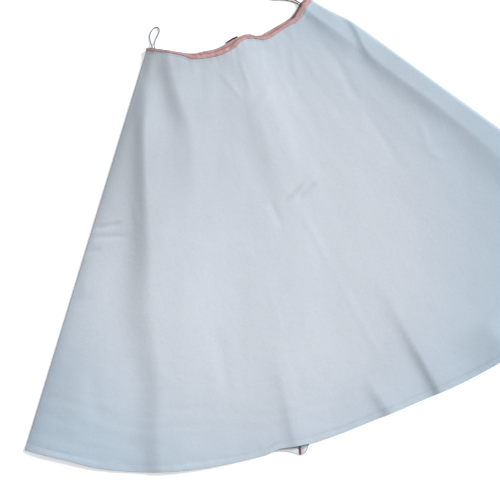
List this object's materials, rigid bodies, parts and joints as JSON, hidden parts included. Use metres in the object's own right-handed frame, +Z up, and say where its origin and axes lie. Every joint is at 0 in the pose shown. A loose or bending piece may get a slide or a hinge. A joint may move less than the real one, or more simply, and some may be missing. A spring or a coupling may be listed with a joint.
{
  "type": "flared skirt",
  "caption": "Flared skirt of off-white linen-like cloth laid flat, front up, with a pink-bound waist, cord hanger loops, soft folds and a narrow stitched hem.",
  "frame": {"origin": "centre of the outline's box on the surface that the skirt lies on, hanger loops left out", "axes": "+Z up from the surface, +Y from the hem towards the waist, +X to the right seen from above with the waist up"},
  "size_m": [1.2006, 0.8495, 0.0166],
  "materials": {
    "cloth": "matt plain weave, linen-like, cool off-white",
    "pink_binding": "soft salmon-pink cotton strip, slight sheen",
    "seam_tape": "dull maroon cotton tape",
    "label": "dark close-woven label, blank",
    "loop_cord": "grey-white twisted cord"
  },
  "bodies": {
    "root": {"front": "cloth", "back_left": "cloth", "back_right": "cloth", "front_binding": "pink_binding", "back_binding": "pink_binding", "seam_binding": "seam_tape", "label": "label", "loop_left": "loop_cord", "loop_right": "loop_cord"}
  },
  "joints": []
}
